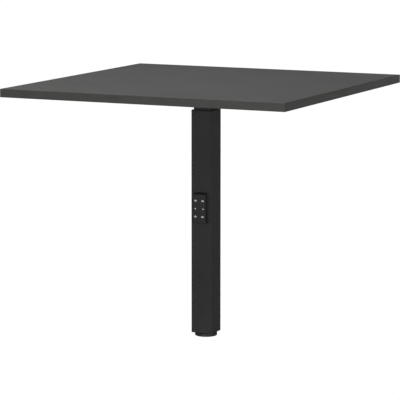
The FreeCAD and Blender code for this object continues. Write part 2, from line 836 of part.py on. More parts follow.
def spindle_stop():
    """Washer that meets the nut at the top of the stroke and steadies the spindle's end."""
    washer = cylinder(push_tube_inside - free_gap, stop_bottom, spindle_bottom)
    sink = countersunk_hole(
        stop_screw_diameter, stop_thickness, stop_screw_head_diameter, stop_screw_head_height, hole_gap
    )
    return washer.cut(placed(sink, V(0, 0, stop_bottom), -Z_AXIS))


def stop_screw():
    length = stop_thickness + stop_screw_length - thread_gap
    screw = countersunk_screw(stop_screw_diameter, length, stop_screw_head_diameter, stop_screw_head_height)
    screw = screw.cut(hexagon_prism(stop_screw_socket, -stop_screw_socket_depth, 0))
    return placed(screw, V(0, 0, stop_bottom), -Z_AXIS)


# What the spindle climbs on: nut, pins and push tube, standing on the bottom plate
def nut_pin_height():
    return push_tube_top - spindle_nut_body / 2


def nut_pin_reach():
    return push_tube_inside - nut_pin_depth


def nut_pin_holes(gap):
    """Round bars through the push tube's wall into the nut, from both sides."""
    holes = []
    for side in (X_AXIS, -X_AXIS):
        length = push_tube_diameter / 2 - nut_pin_reach() + gap
        bar = Part.makeCylinder(nut_pin_diameter / 2 + gap, length, V(0, 0, 0), side)
        holes.append(bar.translated(side * (nut_pin_reach() - gap) + V(0, 0, nut_pin_height())))
    return holes


def spindle_nut():
    nut = turned([
        (spindle_radius + running_gap, nut_bottom),
        (push_tube_inside - seat_gap, nut_bottom),
        (push_tube_inside - seat_gap, push_tube_top),
        (push_tube_diameter / 2, push_tube_top),
        (push_tube_diameter / 2, nut_top),
        (spindle_radius + running_gap, nut_top),
    ])
    return nut.cut(nut_pin_holes(thread_gap))


def nut_pins():
    return Part.makeCompound(nut_pin_holes(0))


def push_tube():
    tube = cylinder(push_tube_diameter / 2, bottom_plate_top, push_tube_top)
    bore = cylinder(push_tube_inside, bottom_plate_top, push_tube_top)
    return tube.cut([bore] + nut_pin_holes(thread_gap))


# Levelling foot: the disc stays on the floor while the stem turns in it and in the plate
def foot_disc():
    radius = foot_diameter / 2
    socket_top = foot_floor + stem_head_height + foot_play
    socket_radius = stem_head_diameter / 2 + swivel_gap
    lip_radius = stem_radius + free_gap
    round_mid = foot_round * (1 - diagonal)
    bottom_round = Part.Arc(
        V(radius - foot_round, 0, 0), V(radius - round_mid, 0, round_mid), V(radius, 0, foot_round)
    )
    rest = Part.makePolygon([
        V(radius, 0, foot_round),
        V(radius, 0, foot_height - foot_crown),
        V(radius - 2 * foot_crown, 0, foot_height),
        V(lip_radius, 0, foot_height),
        V(lip_radius, 0, socket_top),
        V(socket_radius, 0, socket_top),
        V(socket_radius, 0, foot_floor),
        V(0, 0, foot_floor),
        V(0, 0, 0),
        V(radius - foot_round, 0, 0),
    ])
    outline = Part.Wire([bottom_round.toShape()] + rest.Edges)
    return Part.Face(outline).revolve(V(0, 0, 0), Z_AXIS, 360)


def foot_stem():
    """Threaded stem with a round head; a screwdriver slot at its top end."""
    head_top = foot_floor + stem_head_height
    stem = turned([
        (0, foot_floor),
        (stem_head_diameter / 2, foot_floor),
        (stem_head_diameter / 2, head_top),
        (stem_radius, head_top),
        (stem_radius, stem_top - stem_lead_in),
        (stem_radius - stem_lead_in, stem_top),
        (0, stem_top),
    ])
    return stem.cut(plain_block(stem_diameter, stem_slot_width, stem_top - stem_slot_depth, stem_top))


nodes = {
    "tabletop_board": tabletop_board(),
    **edge_bands(),
    "mounting_plate": mounting_plate(),
    "mounting_plate_screws": mounting_plate_screws(),
    "head_flange": head_flange(),
    "head_weld": head_weld(),
    "head_screws": head_screws(),
    "inner_tube": inner_tube(),
    "glide_sleeve": glide_sleeve(),
    "guide_collar": guide_collar(),
    "outer_tube": outer_tube(),
    "bottom_plate": bottom_plate(),
    "beam_bracket": beam_bracket(),
    "bracket_nut_plate": bracket_nut_plate(),
    "bracket_screws": bracket_screws(),
    "bracket_rivets": bracket_rivets(),
    "bracket_welds": bracket_welds(),
    "bearing_block": bearing_block(),
    "block_screws": block_screws(),
    "thrust_bearing": thrust_bearing(),
    "gearbox": gearbox(),
    "gearbox_screws": gearbox_screws(),
    "motor": motor(),
    "motor_socket": motor_socket(),
    "socket_pins": socket_pins(),
    "socket_screws": socket_screws(),
    "spindle": spindle(),
    "drive_coupling": drive_coupling(),
    "spindle_stop": spindle_stop(),
    "stop_screw": stop_screw(),
    "spindle_nut": spindle_nut(),
    "nut_pins": nut_pins(),
    "push_tube": push_tube(),
    "foot_disc": foot_disc(),
    "foot_stem": foot_stem(),
}

os.makedirs("parts", exist_ok=True)
for name, shape in nodes.items():
    shape.exportStep("parts/" + name + ".step")
print(len(nodes), "nodes, lift stroke", round(lift_stroke, 2))
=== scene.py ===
import math

import bpy
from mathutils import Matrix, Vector


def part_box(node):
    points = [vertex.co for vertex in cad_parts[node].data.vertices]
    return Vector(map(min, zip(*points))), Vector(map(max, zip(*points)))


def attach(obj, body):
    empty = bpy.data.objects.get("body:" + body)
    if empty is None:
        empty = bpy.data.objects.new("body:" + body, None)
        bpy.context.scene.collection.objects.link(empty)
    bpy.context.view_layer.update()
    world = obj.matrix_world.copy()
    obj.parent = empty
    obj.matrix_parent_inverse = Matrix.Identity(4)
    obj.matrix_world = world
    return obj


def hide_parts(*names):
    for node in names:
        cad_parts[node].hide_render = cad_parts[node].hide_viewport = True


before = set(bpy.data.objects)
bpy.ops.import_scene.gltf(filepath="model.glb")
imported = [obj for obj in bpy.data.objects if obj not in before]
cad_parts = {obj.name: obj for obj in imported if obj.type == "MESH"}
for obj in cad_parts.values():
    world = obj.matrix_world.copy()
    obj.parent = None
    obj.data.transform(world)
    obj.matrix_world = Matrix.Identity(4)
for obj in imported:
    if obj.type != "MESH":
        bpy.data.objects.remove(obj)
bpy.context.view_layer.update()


# Foot disc: the round glide that stands on the floor, injection-moulded in black plastic with a
# fine spark texture. It snaps over the head of the levelling stem, and the floor scuffs its rim.
plastic_dark = (0.0150, 0.0150, 0.0153, 1.0)
plastic_pale = (0.0210, 0.0210, 0.0214, 1.0)
plastic_gloss = 0.30
plastic_smooth = 0.42
plastic_rough = 0.60
spark_size = 0.00055
spark_depth = 0.00006
flow_size = 0.018
scuff_colour = (0.070, 0.067, 0.063, 1.0)
scuff_height = 0.0022
scuff_length = 0.006
scuff_stretch = (1.0, 1.0, 0.15)
scuff_start = 0.50
scuff_full = 0.62
dark_below = 0.32
pale_above = 0.68
smooth_below = 0.30
rough_above = 0.70


def new_finish(name, metallic, gloss):
    """Finish with one shader. What is the same all over is set on the shader's own sockets."""
    finish = bpy.data.materials.new(name)
    finish.use_nodes = True
    shader = finish.node_tree.nodes["Principled BSDF"]
    shader.inputs["Metallic"].default_value = metallic
    shader.inputs["Specular IOR Level"].default_value = gloss
    return finish


def add_node(finish, kind, sources):
    """New node whose inputs take numbers, colours or the outputs of other nodes."""
    node = finish.node_tree.nodes.new(kind)
    for key, source in sources.items():
        if isinstance(source, bpy.types.NodeSocket):
            finish.node_tree.links.new(source, node.inputs[key])
        else:
            node.inputs[key].default_value = source
    return node


def feed(finish, socket, source):
    """Leads an output to the finish's shader."""
    shader = finish.node_tree.nodes["Principled BSDF"]
    finish.node_tree.links.new(source, shader.inputs[socket])


def place_on(finish):
    """Where a point of the piece is, in metres from the foot of the column's axis."""
    return add_node(finish, "ShaderNodeTexCoord", {}).outputs["Object"]


def grain(finish, size, stretch=(1.0, 1.0, 1.0), detail=2.0):
    """Lumps of the given size, fixed to the piece and longer along a stretched axis."""
    shrink = [1.0 / share for share in stretch]
    place = add_node(finish, "ShaderNodeMapping", {"Vector": place_on(finish), "Scale": shrink})
    lumps = {"Vector": place.outputs["Vector"], "Scale": 1.0 / size, "Detail": detail}
    return add_node(finish, "ShaderNodeTexNoise", lumps).outputs["Fac"]


def level(finish, source, start, end, at_start=0.0, at_end=1.0):
    """Number that goes from at_start to at_end as the source goes from start to end."""
    steps = {
        "Value": source,
        "From Min": start,
        "From Max": end,
        "To Min": at_start,
        "To Max": at_end,
    }
    return add_node(finish, "ShaderNodeMapRange", steps).outputs["Result"]


def shades(finish, source, dark, pale):
    """Colour from dark to pale across the usual spread of a grain."""
    ramp = add_node(finish, "ShaderNodeValToRGB", {"Fac": source})
    first, last = ramp.color_ramp.elements
    first.position = dark_below
    first.color = dark
    last.position = pale_above
    last.color = pale
    return ramp.outputs["Color"]


def roughen(finish, source, smooth, rough):
    """Surface from smooth to rough across the usual spread of a grain."""
    feed(finish, "Roughness", level(finish, source, smooth_below, rough_above, smooth, rough))


def product(finish, first, second):
    """Two numbers multiplied."""
    node = add_node(finish, "ShaderNodeMath", {0: first, 1: second})
    node.operation = "MULTIPLY"
    return node.outputs["Value"]


def covered(finish, share, under, over):
    """Colour under, covered by the colour over where the share is 1."""
    node = add_node(finish, "ShaderNodeMix", {0: share, 6: under, 7: over})
    node.data_type = "RGBA"
    return node.outputs[2]


def relief(finish, source, depth):
    """Raised grain, the given depth in metres from low to high."""
    bump = add_node(finish, "ShaderNodeBump", {"Height": source, "Distance": depth})
    feed(finish, "Normal", bump.outputs["Normal"])


def dress(node, finish):
    """Gives a solid of the frame its finish."""
    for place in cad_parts[node].material_slots:
        place.material = finish


def moulded_plastic(name, gloss, scuffed):
    """Spark-textured black plastic, with pale scuffs near the floor where it is scuffed."""
    finish = new_finish(name, 0.0, gloss)
    spark = grain(finish, spark_size)
    colour = shades(finish, grain(finish, flow_size), plastic_dark, plastic_pale)
    if scuffed:
        height = add_node(finish, "ShaderNodeSeparateXYZ", {"Vector": place_on(finish)}).outputs["Z"]
        low = level(finish, height, 0.0, scuff_height, 1.0, 0.0)
        marks = grain(finish, scuff_length, scuff_stretch, detail=4.0)
        rubbed = level(finish, marks, scuff_start, scuff_full)
        colour = covered(finish, product(finish, low, rubbed), colour, scuff_colour)
    feed(finish, "Base Color", colour)
    roughen(finish, spark, plastic_smooth, plastic_rough)
    relief(finish, spark, spark_depth)
    return finish


dress("foot_disc", moulded_plastic("scuffed_black_plastic", plastic_gloss, True))


# Levelling stem: a threaded steel stem with a flat round head held in the disc, zinc-plated. It is
# turned from above with a screwdriver, through the slot in its top end, to level the table.
stem_low, stem_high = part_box("foot_stem")
stem_radius = 0.0050
stem_pitch = 0.0015
stem_thread_depth = 0.00075
stem_head_height = 0.0038
stem_chamfer = 0.0003
stem_neck_length = 0.0012
stem_point_height = 0.0012
stem_point_radius = 0.0040
slot_width = 0.0015
slot_length = 0.0070
slot_depth = 0.0025
stem_points = 36
rows_per_pitch = 8
sharp_angle = math.radians(38)
least_slope = 1e-6
metal_gloss = 0.5
zinc_dark = (0.30, 0.305, 0.31, 1.0)
zinc_pale = (0.44, 0.44, 0.435, 1.0)
zinc_smooth = 0.24
zinc_rough = 0.42
zinc_cloud_size = 0.004
zinc_pit_size = 0.0004
zinc_pit_depth = 0.000008


def round_reach(radius):
    """Ring of a round bar."""
    return lambda angle: radius


def slot_reach(width, length):
    """Ring of a screwdriver slot."""
    def reach(angle):
        across = max(abs(math.sin(angle)), least_slope)
        along = max(abs(math.cos(angle)), least_slope)
        return min(width / 2 / across, length / 2 / along)
    return reach


def thread_reach(radius, depth, turn, raised):
    """Ring of a single thread: its crest points at the given turn, cut full where raised is 1."""
    def reach(angle):
        valley = 0.5 - 0.5 * math.cos(angle - turn)
        return radius - depth * (1.0 - raised * (1.0 - valley))
    return reach


def thread_rings(radius, depth, pitch, start, end):
    """Rings of a right-hand thread that runs out over one pitch at each end."""
    count = max(2, round(rows_per_pitch * (end - start) / pitch))
    rings = []
    for row in range(count + 1):
        height = start + (end - start) * row / count
        raised = min(1.0, (height - start) / pitch, (end - height) / pitch)
        turn = 2 * math.pi * height / pitch
        rings.append((height, thread_reach(radius, depth, turn, raised)))
    return rings


def skin_through(rows, closed=False):
    """Skin through rows of points, closed into a ring or with a face over both end rows."""
    points = len(rows[0])
    corners = [corner for row in rows for corner in row]
    faces = []
    for row in range(len(rows) if closed else len(rows) - 1):
        near = row * points
        far = (row + 1) % len(rows) * points
        for step in range(points):
            after = (step + 1) % points
            faces.append((near + step, near + after, far + after, far + step))
    if not closed:
        faces.append(tuple(reversed(range(points))))
        faces.append(tuple(range(len(corners) - points, len(corners))))
    return corners, faces


def turned_skin(rings, points):
    """Closed skin about Z through rings of (height, reach), each reach giving a radius at an angle."""
    rows = []
    for height, reach in rings:
        row = []
        for step in range(points):
            angle = 2 * math.pi * step / points
            radius = reach(angle)
            row.append(Vector((radius * math.cos(angle), radius * math.sin(angle), height)))
        rows.append(row)
    return skin_through(rows)


def new_piece(name, skin, finish, body, node):
    """Piece of the scene that stands for a solid and moves with its body."""
    corners, faces = skin
    mesh = bpy.data.meshes.new(name)
    mesh.from_pydata(corners, [], faces)
    mesh.shade_smooth()
    mesh.set_sharp_from_angle(angle=sharp_angle)
    mesh.materials.append(finish)
    piece = bpy.data.objects.new(name, mesh)
    bpy.context.scene.collection.objects.link(piece)
    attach(piece, body)
    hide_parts(node)


def bare_metal(name):
    """Finish of uncoated metal."""
    return new_finish(name, 1.0, metal_gloss)


def zinc_plated(name):
    """Bright zinc with faint clouds and fine pits."""
    finish = bare_metal(name)
    cloud = grain(finish, zinc_cloud_size, detail=3.0)
    feed(finish, "Base Color", shades(finish, cloud, zinc_dark, zinc_pale))
    roughen(finish, cloud, zinc_smooth, zinc_rough)
    relief(finish, grain(finish, zinc_pit_size), zinc_pit_depth)
    return finish


zinc = zinc_plated("bright_zinc")
stem_head_radius = (stem_high.x - stem_low.x) / 2
stem_head_top = stem_low.z + stem_head_height
stem_rings = [
    (stem_low.z, round_reach(stem_head_radius - stem_chamfer)),
    (stem_low.z + stem_chamfer, round_reach(stem_head_radius)),
    (stem_head_top - stem_chamfer, round_reach(stem_head_radius)),
    (stem_head_top, round_reach(stem_head_radius - stem_chamfer)),
    (stem_head_top, round_reach(stem_radius - stem_thread_depth)),
]
thread_start = stem_head_top + stem_neck_length
thread_end = stem_high.z - stem_point_height
stem_rings += thread_rings(stem_radius, stem_thread_depth, stem_pitch, thread_start, thread_end)
stem_rings += [
    (stem_high.z, round_reach(stem_point_radius)),
    (stem_high.z, slot_reach(slot_width, slot_length)),
    (stem_high.z - slot_depth, slot_reach(slot_width, slot_length)),
]
stem_skin = turned_skin(stem_rings, stem_points)
new_piece("levelling_stem", stem_skin, zinc, "foot_screw", "foot_stem")


# Bottom plate: a turned and milled steel plate welded into the lower end of the outer tube. Its
# threaded bore takes the levelling stem, and its boss locates the push tube. Bare, lightly oiled.
steel_dark = (0.30, 0.30, 0.31, 1.0)
steel_pale = (0.48, 0.48, 0.48, 1.0)
steel_smooth = 0.26
steel_rough = 0.46
draw_line_size = 0.0004
draw_line_stretch = (1.0, 1.0, 60.0)
draw_line_depth = 0.000012
oil_colour = (0.20, 0.17, 0.12, 1.0)
oil_size = 0.016
oil_start = 0.50
oil_full = 0.75
oil_share = 0.45


def drawn_steel(name):
    """Bare steel with fine lines along the way it was drawn, under patches of thin oil."""
    finish = bare_metal(name)
    lines = grain(finish, draw_line_size, draw_line_stretch, detail=3.0)
    oil = level(finish, grain(finish, oil_size, detail=3.0), oil_start, oil_full, 0.0, oil_share)
    bare = shades(finish, lines, steel_dark, steel_pale)
    feed(finish, "Base Color", covered(finish, oil, bare, oil_colour))
    roughen(finish, lines, steel_smooth, steel_rough)
    relief(finish, lines, draw_line_depth)
    return finish


steel = drawn_steel("oiled_steel")
dress("bottom_plate", steel)


# Outer tube: square welded steel tube with rounded corners, the lower stage of the column. It is
# powder-coated black with a fine texture, inside and out, after the bracket is welded on.
coat_dark = (0.0352, 0.0352, 0.0354, 1.0)
coat_pale = (0.0424, 0.0424, 0.0427, 1.0)
coat_gloss = 0.06
coat_smooth = 0.46
coat_rough = 0.62
coat_grain_size = 0.00075
coat_grain_depth = 0.00026
# Dark colour laid into the low spots of the coat's grain: painted shade, not a colour of the coat.
coat_pit_painted_shade = (0.0140, 0.0140, 0.0142, 1.0)
pit_painted_shade_share = 0.70
pit_painted_shade_floor = 0.34
pit_painted_shade_rim = 0.60
coat_cloud_size = 0.06
coat_cloud_stretch = (1.0, 1.0, 2.0)


def powder_coat(name):
    """Black powder coat, a little uneven in depth of colour, its fine grain darker in the low spots as
    painted shade.
    """
    finish = new_finish(name, 0.0, coat_gloss)
    texture = grain(finish, coat_grain_size, detail=3.0)
    cloud = grain(finish, coat_cloud_size, coat_cloud_stretch, detail=4.0)
    # The low spots of the grain take a painted shade.
    pit_painted_shade = level(finish, texture, pit_painted_shade_floor, pit_painted_shade_rim, pit_painted_shade_share, 0.0)
    colour = covered(finish, pit_painted_shade, shades(finish, cloud, coat_dark, coat_pale), coat_pit_painted_shade)
    feed(finish, "Base Color", colour)
    roughen(finish, texture, coat_smooth, coat_rough)
    relief(finish, texture, coat_grain_depth)
    return finish


coat = powder_coat("black_powder_coat")
dress("outer_tube", coat)


# Guide collar: a moulded plastic frame pressed into the outer tube's mouth. Its rim closes the gap
# between the tubes, and its skirt guides the inner tube. Filled for sliding, it is matt.
matt_plastic_gloss = 0.06

plastic = moulded_plastic("matt_black_plastic", matt_plastic_gloss, False)
dress("guide_collar", plastic)


# Push tube, spindle nut and pins: a drawn steel tube on the bottom plate carries the acetal nut at
# its top, held by two cross pins. The spindle turns in this nut and pushes the upper stage up.
acetal_dark = (0.66, 0.65, 0.60, 1.0)
acetal_pale = (0.80, 0.79, 0.75, 1.0)
acetal_gloss = 0.45
acetal_smooth = 0.32
acetal_rough = 0.45
acetal_cloud_size = 0.010
acetal_line_size = 0.0005
acetal_line_stretch = (40.0, 40.0, 1.0)
acetal_line_depth = 0.00001

acetal = new_finish("natural_acetal", 0.0, acetal_gloss)
tool_lines = grain(acetal, acetal_line_size, acetal_line_stretch)
milky = shades(acetal, grain(acetal, acetal_cloud_size), acetal_dark, acetal_pale)
feed(acetal, "Base Color", milky)
roughen(acetal, tool_lines, acetal_smooth, acetal_rough)
relief(acetal, tool_lines, acetal_line_depth)
dress("push_tube", steel)
dress("spindle_nut", acetal)
dress("nut_pins", steel)


# Beam bracket and its seams: a steel plate folded back at top and bottom, open at its sides and
# welded to the tube's front face along both folds, coated with the tube. The seams show the
# ripples of the single drops.
seam_leg = 0.0025
seam_ripple_gap = 0.0016
seam_ripple_depth = 0.16
seam_steps_per_ripple = 5
seam_chord = 0.29
seam_bulge = 0.14
seam_run_in = 0.0030
seam_start_share = 0.4
seam_profile_steps = 6


def seam_skin(stations, closed):
    """Fillet seam, bulged from its straight chord. A station is (root, way along, way up, leg)."""
    rows = []
    for root, along, upward, leg in stations:
        row = [root]
        for step in range(seam_profile_steps + 1):
            angle = math.pi / 2 * step / seam_profile_steps
            reach = leg * (1.0 - (seam_chord - seam_bulge) * math.sin(2 * angle))
            row.append(root + reach * (math.cos(angle) * along + math.sin(angle) * upward))
        rows.append(row)
    return skin_through(rows, closed)


def rippled(leg, distance):
    """Leg of the seam where the drops overlap like scales."""
    through = distance / seam_ripple_gap % 1.0
    return leg * (1.0 - seam_ripple_depth * through * through)


def joined(skins):
    """Several skins as one."""
    corners = []
    faces = []
    for some_corners, some_faces in skins:
        first = len(corners)
        corners += some_corners
        faces += [tuple(first + index for index in face) for face in some_faces]
    return corners, faces


dress("beam_bracket", coat)
seam_low, seam_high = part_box("bracket_welds")
seam_length = seam_high.x - seam_low.x
seam_steps = round(seam_length / seam_ripple_gap * seam_steps_per_ripple)
forward = Vector((0, -1, 0))
upper_fold = (seam_high.z - seam_leg, Vector((0, 0, 1)), forward)
lower_fold = (seam_low.z + seam_leg, forward, Vector((0, 0, -1)))
bracket_seams = []
for fold_height, along, upward in (lower_fold, upper_fold):
    stations = []
    for step in range(seam_steps + 1):
        distance = seam_length * step / seam_steps
        run_in = min(distance, seam_length - distance) / seam_run_in
        start_share = min(1.0, seam_start_share + (1.0 - seam_start_share) * run_in)
        root = Vector((seam_low.x + distance, seam_high.y, fold_height))
        stations.append((root, along, upward, rippled(seam_leg, distance) * start_share))
    bracket_seams.append(seam_skin(stations, False))
new_piece(
    "bracket_seams", joined(bracket_seams), coat, "column_base", "bracket_welds"
)


# Bracket strip, screws and rivets: a threaded steel strip lies in the channel, held by two steel
# rivets, and four socket screws with round heads wait in it for the crossbeam. The rivets and
# screws are zinc-plated.
bracket_screw_radius = 0.0025
bracket_screw_pitch = 0.0008
bracket_head_radius = 0.00425
bracket_head_height = 0.0025
bracket_crown = 0.00216
bracket_hexagon = 0.0030
bracket_socket_depth = 0.0015
bracket_columns = 0.0105
bracket_rows = 0.0215
fastener_points = 36
thread_depth_share = 0.61
shank_chamfer_share = 0.45
head_foot_share = 0.97
head_rim_share = 0.08
dome_steps = 7


def hexagon_reach(across_flats):
    """Ring of a hexagon socket."""
    sector = math.radians(60)
    def reach(angle):
        from_flat = (angle + sector / 2) % sector - sector / 2
        return across_flats / 2 / math.cos(from_flat)
    return reach


def machine_shank(radius, pitch, length):
    """Rings of a threaded shank, from its chamfered end up to the plane under the head."""
    depth = thread_depth_share * pitch
    chamfer = shank_chamfer_share * radius
    rings = [(-length, round_reach(radius - depth - chamfer / 2))]
    rings += thread_rings(radius, depth, pitch, chamfer / 2 - length, -pitch / 2)
    return rings


def round_head(radius, height, crown):
    """Rings of a domed head, from its underside up to its flat crown."""
    rim = height * head_rim_share
    rings = [(0.0, round_reach(radius * head_foot_share)), (rim, round_reach(radius))]
    for step in range(1, dome_steps + 1):
        angle = math.pi / 2 * step / dome_steps
        reach = crown + (radius - crown) * math.cos(angle)
        rings.append((rim + (height - rim) * math.sin(angle), round_reach(reach)))
    return rings


def recess_rings(height, depth, reach):
    """Rings of a drive recess: its mouth at the given height, then its floor."""
    return [(height, reach), (height - depth, reach)]


def set_in(skin, seats):
    """Copies of a skin drawn along Z, each put at a seat and turned the way the seat points."""
    corners, faces = skin
    copies = []
    for seat, way in seats:
        turn = Vector((0, 0, 1)).rotation_difference(way).to_matrix()
        copies.append(([seat + turn @ corner for corner in corners], faces))
    return joined(copies)


screws_low, screws_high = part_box("bracket_screws")
bracket_seat = screws_low.y + bracket_head_height
bracket_middle = (screws_low.z + screws_high.z) / 2
bracket_rings = machine_shank(bracket_screw_radius, bracket_screw_pitch, screws_high.y - bracket_seat)
bracket_rings += round_head(bracket_head_radius, bracket_head_height, bracket_crown)
bracket_rings += recess_rings(
    bracket_head_height, bracket_socket_depth, hexagon_reach(bracket_hexagon)
)
bracket_seats = []
for across in (-bracket_columns, bracket_columns):
    for up in (-bracket_rows, bracket_rows):
        bracket_seats.append((Vector((across, bracket_seat, bracket_middle + up)), forward))
bracket_skin = set_in(turned_skin(bracket_rings, fastener_points), bracket_seats)
new_piece(
    "bracket_round_head_screws", bracket_skin, zinc, "column_base", "bracket_screws"
)
dress("bracket_nut_plate", steel)
dress("bracket_rivets", zinc)


# Inner tube and glides: the upper stage of the column, a slimmer square steel tube with the same
# black coat. A plastic sleeve clipped on its lower end slides in the outer tube.
dress("inner_tube", coat)
dress("glide_sleeve", plastic)


# Bearing block: a milled and shot-blasted aluminium block that closes the inner tube and carries
# the drive. Four countersunk screws hold it through the tube's faces.
alloy_dark = (0.42, 0.43, 0.44, 1.0)
alloy_pale = (0.60, 0.61, 0.62, 1.0)
alloy_smooth = 0.42
alloy_rough = 0.60
alloy_cloud_size = 0.012
shot_size = 0.0006
shot_depth = 0.00003
block_screw_radius = 0.0020
block_screw_pitch = 0.0007
block_screw_length = 0.00895
block_head_radius = 0.0040
block_head_height = 0.0019
block_hexagon = 0.0025
block_socket_depth = 0.0013
sunk_edge_share = 0.06
sunk_top_share = 0.98


def lowered(rings, drop):
    """Rings moved down."""
    return [(height - drop, reach) for height, reach in rings]


def countersunk(radius, pitch, head_radius, head_height, length):
    """Rings of a countersunk screw, its flat top at zero."""
    rings = lowered(machine_shank(radius, pitch, length - head_height), head_height)
    rings += [
        (-head_height, round_reach(radius)),
        (-head_height * sunk_edge_share, round_reach(head_radius)),
        (0.0, round_reach(head_radius * sunk_top_share)),
    ]
    return rings


alloy = bare_metal("blasted_aluminium")
shot_pits = grain(alloy, shot_size, detail=1.0)
alloy_cloud = grain(alloy, alloy_cloud_size, detail=3.0)
feed(alloy, "Base Color", shades(alloy, alloy_cloud, alloy_dark, alloy_pale))
roughen(alloy, shot_pits, alloy_smooth, alloy_rough)
relief(alloy, shot_pits, shot_depth)
dress("bearing_block", alloy)
block_low, block_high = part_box("block_screws")
block_rings = countersunk(
    block_screw_radius, block_screw_pitch, block_head_radius, block_head_height, block_screw_length
)
block_rings += recess_rings(0.0, block_socket_depth, hexagon_reach(block_hexagon))
block_seats = []
for way in (Vector((1, 0, 0)), Vector((0, 1, 0)), Vector((-1, 0, 0)), Vector((0, -1, 0))):
    seat = way * block_high.x
    seat.z = (block_low.z + block_high.z) / 2
    block_seats.append((seat, way))
block_skin = set_in(turned_skin(block_rings, fastener_points), block_seats)
new_piece(
    "block_countersunk_screws", block_skin, zinc, "lift_column", "block_screws"
)


# Bearing, gearbox and motor: the in-line drive in the neck of the column. The gearbox has a cast
# aluminium case, the motor a drawn steel can, and the bearing under them takes the table's load.
# Four knurled cap screws hold the gearbox on the bearing block.
bearing_dark = (0.52, 0.52, 0.54, 1.0)
bearing_pale = (0.70, 0.70, 0.72, 1.0)
bearing_smooth = 0.12
bearing_rough = 0.24
bearing_line_size = 0.0003
bearing_line_stretch = (30.0, 30.0, 1.0)
bearing_line_depth = 0.000004
gear_screw_radius = 0.0020
gear_screw_pitch = 0.0007
gear_thread_length = 0.0080
gear_head_radius = 0.0035
gear_head_height = 0.0040
gear_head_foot = 0.0002
gear_head_edge = 0.00048
gear_head_top_radius = 0.00315
gear_hexagon = 0.0030
gear_socket_depth = 0.0020
gear_knurls = 18
knurl_depth = 0.00010
fine_points = 72


def knurled_reach(radius):
    """Ring of a knurled cap head."""
    return lambda angle: radius - knurl_depth * (0.5 - 0.5 * math.cos(gear_knurls * angle))


def square_seats(reach, height, way):
    """Seats at the four corners of a square about the column's axis."""
    seats = []
    for across in (-reach, reach):
        for deep in (-reach, reach):
            seats.append((Vector((across, deep, height)), way))
    return seats


ground_steel = bare_metal("ground_bearing_steel")
ground_lines = grain(ground_steel, bearing_line_size, bearing_line_stretch)
feed(ground_steel, "Base Color", shades(ground_steel, ground_lines, bearing_dark, bearing_pale))
roughen(ground_steel, ground_lines, bearing_smooth, bearing_rough)
relief(ground_steel, ground_lines, bearing_line_depth)
dress("thrust_bearing", ground_steel)
dress("gearbox", alloy)
dress("motor", steel)
gear_low, gear_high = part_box("gearbox_screws")
gear_seat = gear_low.z + gear_head_height
gear_plain_length = gear_high.z - gear_seat - gear_thread_length
gear_rings = lowered(
    machine_shank(gear_screw_radius, gear_screw_pitch, gear_thread_length), gear_plain_length
)
gear_rings += [
    (-gear_plain_length, round_reach(gear_screw_radius)),
    (-gear_screw_pitch / 2, round_reach(gear_screw_radius)),
    (0.0, round_reach(gear_head_radius * head_foot_share)),
    (gear_head_foot, knurled_reach(gear_head_radius)),
    (gear_head_height - gear_head_edge, knurled_reach(gear_head_radius)),
    (gear_head_height, round_reach(gear_head_top_radius)),
]
gear_rings += recess_rings(gear_head_height, gear_socket_depth, hexagon_reach(gear_hexagon))
gear_seats = square_seats(gear_high.x - gear_head_radius, gear_seat, Vector((0, 0, -1)))
gear_skin = set_in(turned_skin(gear_rings, fine_points), gear_seats)
new_piece(
    "gearbox_cap_screws", gear_skin, zinc, "lift_column", "gearbox_screws"
)


# Spindle, coupling and stop: a rolled steel spindle with a steep four-start thread, keyed to the
# gearbox by a steel coupling. A stop ring, screwed on its lower end, keeps it in the nut.
spindle_low, spindle_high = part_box("spindle")
spindle_radius = (spindle_high.x - spindle_low.x) / 2
spindle_lead = 0.010
spindle_starts = 4
spindle_depth = 0.0011
spindle_profile = ((0.0, 0.0), (0.16, 0.0), (0.5, 1.0), (0.66, 1.0))
spindle_row = 0.0005
spindle_chamfer = 0.0006
journal_radius = 0.0050
journal_length = 0.022
stop_radius = 0.0020
stop_pitch = 0.0007
stop_head_radius = 0.0040
stop_head_height = 0.0023
stop_hexagon = 0.0025
stop_socket_depth = 0.0016


def helix_corners(height, raised):
    """Section of the spindle: a flat crest and a flat root for each start, turned with the height."""
    turn = 2 * math.pi * (height - spindle_low.z) / spindle_lead
    corners = []
    for start in range(spindle_starts):
        for share, deep in spindle_profile:
            angle = turn + 2 * math.pi * (start + share) / spindle_starts
            radius = spindle_radius - spindle_depth * (deep if raised else 1.0)
            corners.append(Vector((radius * math.cos(angle), radius * math.sin(angle), height)))
    return corners


def shrunk(corners, radius, height):
    """A section pulled in to a round of the given radius."""
    moved = []
    for corner in corners:
        flat = Vector((corner.x, corner.y, 0.0)).normalized() * radius
        moved.append(Vector((flat.x, flat.y, height)))
    return moved


journal_start = spindle_high.z - journal_length
spindle_rows = round((journal_start - spindle_low.z) / spindle_row)
sections = []
for row in range(spindle_rows + 1):
    height = spindle_low.z + (journal_start - spindle_low.z) * row / spindle_rows
    sections.append(helix_corners(height, 0 < row < spindle_rows))
last_section = sections[-1]
sections += [
    shrunk(last_section, journal_radius, journal_start),
    shrunk(last_section, journal_radius, spindle_high.z - spindle_chamfer),
    shrunk(last_section, journal_radius - spindle_chamfer, spindle_high.z),
]
new_piece(
    "threaded_spindle", skin_through(sections), steel, "spindle_set", "spindle"
)
dress("drive_coupling", steel)
dress("spindle_stop", steel)
stop_low, stop_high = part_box("stop_screw")
stop_rings = countersunk(
    stop_radius, stop_pitch, stop_head_radius, stop_head_height, stop_high.z - stop_low.z
)
stop_rings += recess_rings(0.0, stop_socket_depth, hexagon_reach(stop_hexagon))
stop_seat = (Vector((0.0, 0.0, stop_low.z)), Vector((0, 0, -1)))
stop_skin = set_in(turned_skin(stop_rings, fastener_points), [stop_seat])
new_piece("spindle_stop_screw", stop_skin, zinc, "spindle_set", "stop_screw")


